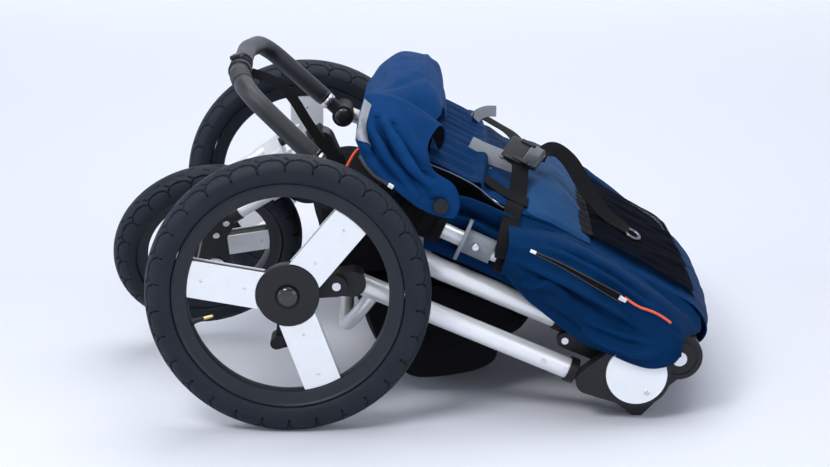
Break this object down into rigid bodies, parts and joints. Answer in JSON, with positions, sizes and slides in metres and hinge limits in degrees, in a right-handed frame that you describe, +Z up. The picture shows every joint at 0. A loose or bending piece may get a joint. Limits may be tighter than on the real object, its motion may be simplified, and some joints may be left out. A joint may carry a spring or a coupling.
{
  "type": "jogging stroller",
  "caption": "three-wheel jogging stroller folded flat, with swivelling front wheel, spoked air tyres, fold-over handle and soft seat",
  "frame": {"origin": "middle of the footprint, on the surface that the folded stroller stands on", "axes": "+X from the front wheel towards the fold hubs, +Y across towards the right rear wheel, +Z up"},
  "size_m": [0.8877, 0.697, 0.474],
  "materials": {
    "tyre": "matt black rubber tread",
    "rim_black": "satin black moulded rim",
    "spoke_silver": "satin silver spoke plates",
    "frame_silver": "satin silver tube",
    "hub_black": "fine-grained black moulding",
    "hub_white": "pale grey disc, semi-gloss",
    "slider_grey": "dark grey moulding",
    "grip_foam": "charcoal closed-cell foam",
    "steel": "zinc-plated fasteners",
    "fabric_blue": "navy blue woven polyester",
    "fabric_black": "black woven polyester",
    "mesh_black": "black net over blue",
    "webbing_black": "black ribbed webbing",
    "webbing_grey": "grey reflective webbing",
    "cord_orange": "orange-red zip cord"
  },
  "bodies": {
    "frame": {"front_leg_left": "frame_silver", "front_leg_right": "frame_silver", "hub_housing_left": "hub_black", "hub_housing_right": "hub_black", "pivot_hardware": "steel", "frame_bars": "frame_silver", "head_tube": "frame_silver", "head_housing": "hub_black", "seat_base": "fabric_black", "basket": "fabric_black"},
    "lock_knob": {"swivel_lock_knob": "hub_black"},
    "fork": {"fork_crown": "frame_silver", "fork_blades": "frame_silver", "fork_dropouts": "hub_black", "front_axle": "steel"},
    "front_wheel": {"front_wheel_tyre": "tyre", "front_wheel_casting": "rim_black", "front_wheel_spoke_plates": "spoke_silver", "front_wheel_hub_covers": "hub_black"},
    "rear_frame": {"rear_leg_left": "frame_silver", "rear_leg_right": "frame_silver", "rear_knuckles": "hub_black", "hub_discs": "hub_white", "rear_cross_tube": "frame_silver", "leg_brackets": "hub_black", "rear_fasteners": "steel"},
    "arm_left": {"suspension_arm_left": "frame_silver"},
    "arm_right": {"suspension_arm_right": "frame_silver"},
    "rear_wheel_left": {"rear_wheel_left_tyre": "tyre", "rear_wheel_left_casting": "rim_black", "rear_wheel_left_spoke_plates": "spoke_silver", "rear_wheel_left_hub_covers": "hub_black"},
    "rear_wheel_right": {"rear_wheel_right_tyre": "tyre", "rear_wheel_right_casting": "rim_black", "rear_wheel_right_spoke_plates": "spoke_silver", "rear_wheel_right_hub_covers": "hub_black"},
    "brake": {"brake_pedal": "hub_black"},
    "handle_frame": {"handle_tube_left": "frame_silver", "handle_tube_right": "frame_silver", "handle_joints": "hub_black", "handle_knuckles": "hub_black", "tube_collars": "hub_black", "canopy_pivots": "hub_black", "canopy_fabric": "fabric_blue", "canopy_sides": "fabric_blue", "seat_back": "fabric_blue", "side_flap_left": "fabric_blue", "side_flap_right": "fabric_blue", "back_pocket": "mesh_black", "back_strap": "webbing_black", "strap_hardware": "steel", "strap_buckle": "hub_black", "flap_pull": "cord_orange"},
    "slider_left": {"fold_slider_left": "slider_grey"},
    "slider_right": {"fold_slider_right": "slider_grey"},
    "canopy": {"canopy_bow": "hub_black", "canopy_pull": "cord_orange"},
    "handlebar": {"handlebar_ends": "hub_black", "handlebar_grip": "grip_foam", "wrist_strap": "webbing_black"}
  },
  "joints": [
    {"name": "handle_fold", "type": "hinge", "parent": "frame", "child": "handle_frame", "pos_m": [0.388, 0, 0.088], "axis": [0, 1, 0], "range_deg": [0, 157]},
    {"name": "rear_fold", "type": "hinge", "parent": "frame", "child": "rear_frame", "pos_m": [0.326, 0, 0.071], "axis": [0, -1, 0], "range_deg": [0, 93]},
    {"name": "handlebar_tilt", "type": "hinge", "parent": "handle_frame", "child": "handlebar", "pos_m": [-0.098, 0, 0.332], "axis": [0, 1, 0], "range_deg": [-30, 45]},
    {"name": "canopy_open", "type": "hinge", "parent": "handle_frame", "child": "canopy", "pos_m": [0.025, 0, 0.302], "axis": [0, -1, 0], "range_deg": [0, 60]},
    {"name": "slider_left_slide", "type": "slide", "parent": "handle_frame", "child": "slider_left", "axis": [-0.9112, 0.1124, 0.3964], "range_m": [0, 0.012], "stiffness_N_per_m": 300},
    {"name": "slider_right_slide", "type": "slide", "parent": "handle_frame", "child": "slider_right", "axis": [-0.9112, -0.1124, 0.3964], "range_m": [0, 0.012], "stiffness_N_per_m": 300},
    {"name": "suspension_left", "type": "hinge", "parent": "rear_frame", "child": "arm_left", "pos_m": [-0.095, 0, 0.199], "axis": [0, -1, 0], "range_deg": [0, 8]},
    {"name": "suspension_right", "type": "hinge", "parent": "rear_frame", "child": "arm_right", "pos_m": [-0.095, 0, 0.199], "axis": [0, -1, 0], "range_deg": [0, 8]},
    {"name": "rear_wheel_left_spin", "type": "hinge", "parent": "arm_left", "child": "rear_wheel_left", "pos_m": [-0.161, -0.325, 0.198], "axis": [0, -1, 0], "continuous": true},
    {"name": "rear_wheel_right_spin", "type": "hinge", "parent": "arm_right", "child": "rear_wheel_right", "pos_m": [-0.161, 0.325, 0.198], "axis": [0, -1, 0], "continuous": true},
    {"name": "brake_press", "type": "hinge", "parent": "arm_left", "child": "brake", "pos_m": [-0.161, -0.25, 0.198], "axis": [0, -1, 0], "range_deg": [0, 25]},
    {"name": "fork_swivel", "type": "hinge", "parent": "frame", "child": "fork", "pos_m": [-0.33, 0, 0.215], "axis": [0.8572, 0, 0.515], "continuous": true},
    {"name": "swivel_lock", "type": "slide", "parent": "frame", "child": "lock_knob", "axis": [0.8572, 0, 0.515], "range_m": [0, 0.006]},
    {"name": "front_wheel_spin", "type": "hinge", "parent": "fork", "child": "front_wheel", "pos_m": [-0.30118, 0.02669, 0.16703], "axis": [0.2217, -0.9026, -0.369], "continuous": true}
  ],
  "couplings": [
    {"joint": "canopy_open", "follows": "handle_fold", "ratio": 0.38}
  ]
}
